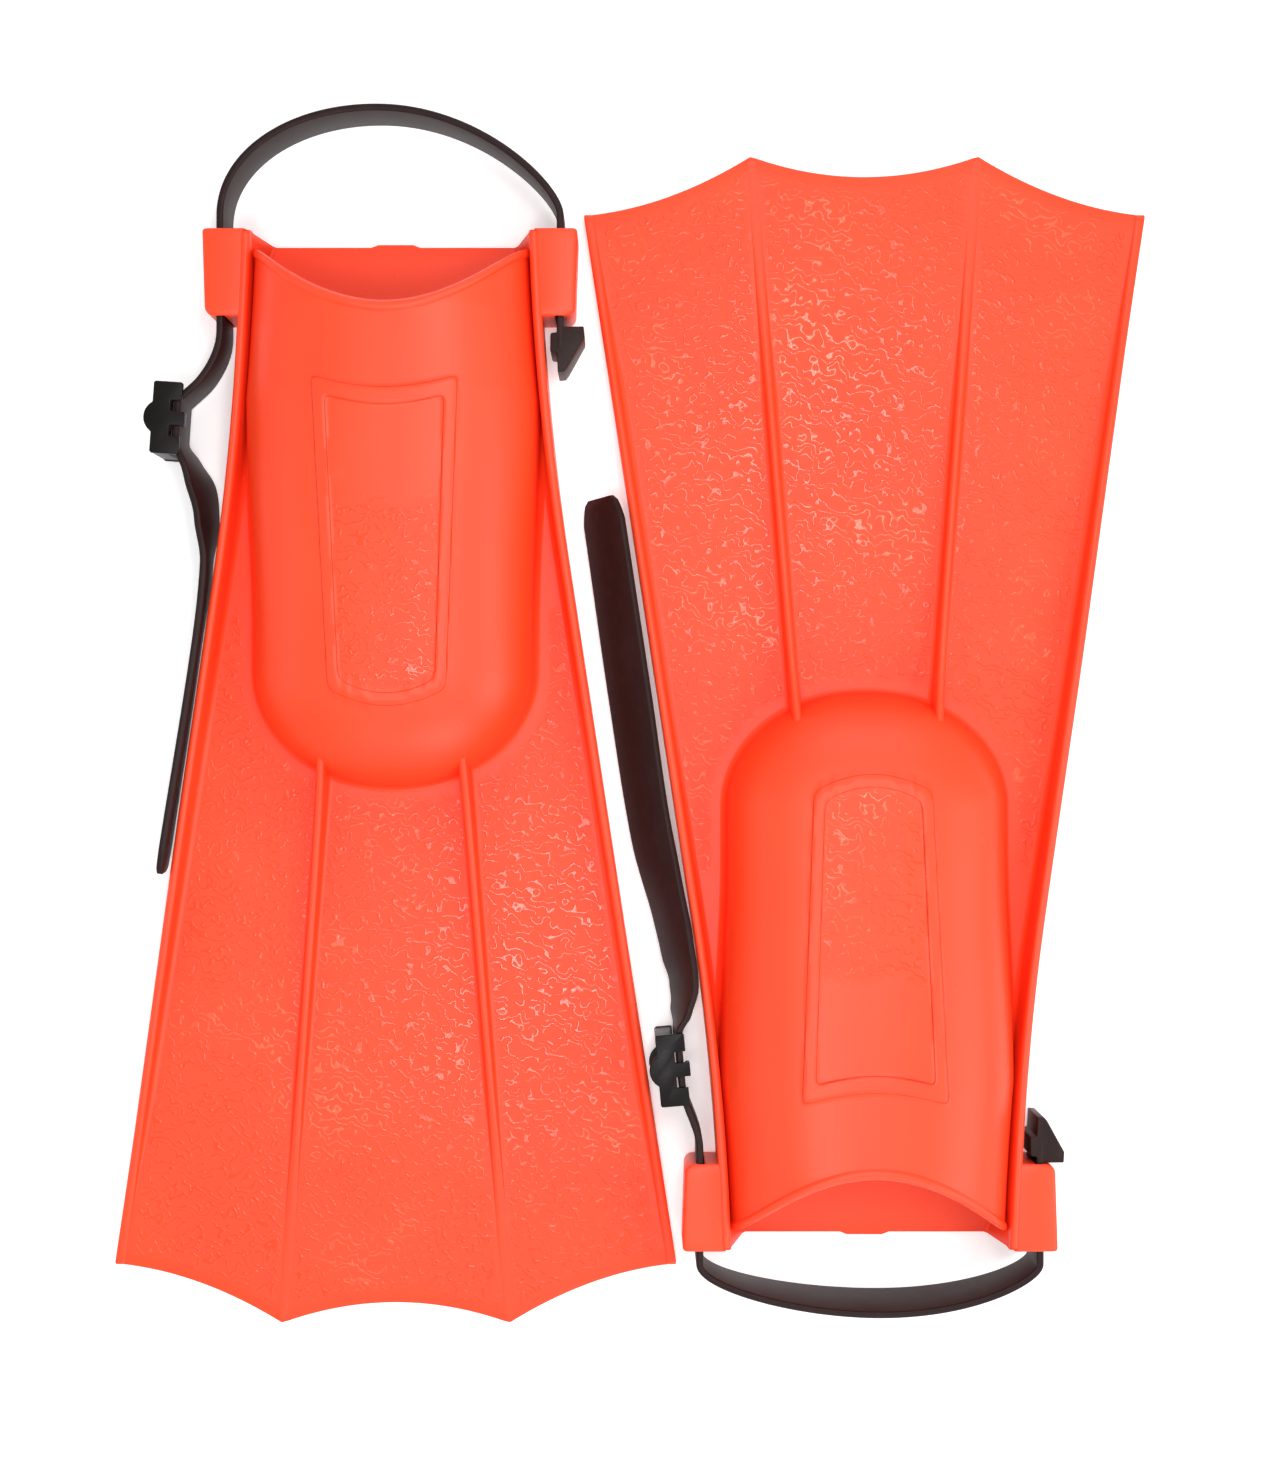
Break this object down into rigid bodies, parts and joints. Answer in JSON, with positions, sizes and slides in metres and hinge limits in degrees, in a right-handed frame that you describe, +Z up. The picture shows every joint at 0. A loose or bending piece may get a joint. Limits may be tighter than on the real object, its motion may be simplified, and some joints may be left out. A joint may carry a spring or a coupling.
{
  "type": "swim fins",
  "caption": "Open-heel swim fins with a ribbed, scalloped paddle blade, a foot pocket and a rubber heel strap that a sliding buckle adjusts.",
  "frame": {"origin": "centre of the pair's overall box, on the plane that the soles lie on", "axes": "+Z up out of the soles; +Y along the fins, from the left foot's heel towards its blade tip (the right foot's fin points along -Y); +X from the right foot's fin to the left foot's"},
  "size_m": [0.3806, 0.4454, 0.0475],
  "materials": {
    "fin_moulding": "satin",
    "strap_rubber": "satin",
    "buckle_plastic": "satin"
  },
  "bodies": {
    "left_fin": {"left_foot_pocket": "fin_moulding", "left_sole": "fin_moulding", "left_outer_side_wall": "fin_moulding", "left_inner_side_wall": "fin_moulding", "left_outer_strap_lug": "fin_moulding", "left_inner_strap_lug": "fin_moulding"},
    "left_blade": {"left_blade_web": "fin_moulding", "left_outer_blade_rail": "fin_moulding", "left_inner_blade_rail": "fin_moulding", "left_outer_rib": "fin_moulding", "left_inner_rib": "fin_moulding"},
    "left_strap": {"left_heel_strap": "strap_rubber", "left_strap_tail": "strap_rubber", "left_arrow_stop": "strap_rubber"},
    "left_buckle": {"left_buckle_frame": "buckle_plastic"},
    "left_roller": {"left_buckle_roller": "buckle_plastic"},
    "right_fin": {"right_foot_pocket": "fin_moulding", "right_sole": "fin_moulding", "right_outer_side_wall": "fin_moulding", "right_inner_side_wall": "fin_moulding", "right_outer_strap_lug": "fin_moulding", "right_inner_strap_lug": "fin_moulding"},
    "right_blade": {"right_blade_web": "fin_moulding", "right_outer_blade_rail": "fin_moulding", "right_inner_blade_rail": "fin_moulding", "right_outer_rib": "fin_moulding", "right_inner_rib": "fin_moulding"},
    "right_strap": {"right_heel_strap": "strap_rubber", "right_strap_tail": "strap_rubber", "right_arrow_stop": "strap_rubber"},
    "right_buckle": {"right_buckle_frame": "buckle_plastic"},
    "right_roller": {"right_buckle_roller": "buckle_plastic"}
  },
  "joints": [
    {"name": "right_fin_lift", "type": "slide", "parent": "left_fin", "child": "right_fin", "axis": [0, 0, 1], "range_m": [0, 0.12]},
    {"name": "left_blade_flex", "type": "hinge", "parent": "left_fin", "child": "left_blade", "pos_m": [0.0866, 0.02265, 0.005], "axis": [1, 0, 0], "range_deg": [-15, 15], "stiffness_Nm_per_rad": 8},
    {"name": "left_strap_slide", "type": "slide", "parent": "left_fin", "child": "left_strap", "axis": [0, 1, 0], "range_m": [0, 0.003]},
    {"name": "left_buckle_slide", "type": "slide", "parent": "left_strap", "child": "left_buckle", "axis": [-0.0872, 0.9962, 0], "range_m": [-0.0025, 0.0025]},
    {"name": "left_roller_spin", "type": "hinge", "parent": "left_buckle", "child": "left_roller", "pos_m": [0.01332, -0.12609, 0.0137], "axis": [0, 0, 1], "continuous": true},
    {"name": "right_blade_flex", "type": "hinge", "parent": "right_fin", "child": "right_blade", "pos_m": [-0.0866, -0.03665, 0.005], "axis": [-1, 0, 0], "range_deg": [-15, 15], "stiffness_Nm_per_rad": 8},
    {"name": "right_strap_slide", "type": "slide", "parent": "right_fin", "child": "right_strap", "axis": [0, -1, 0], "range_m": [-0.0035, 0.003]},
    {"name": "right_buckle_slide", "type": "slide", "parent": "right_strap", "child": "right_buckle", "axis": [-0.0698, -0.9976, 0], "range_m": [-0.0025, 0.0025]},
    {"name": "right_roller_spin", "type": "hinge", "parent": "right_buckle", "child": "right_roller", "pos_m": [-0.16879, 0.1091, 0.0137], "axis": [0, 0, 1], "continuous": true}
  ]
}
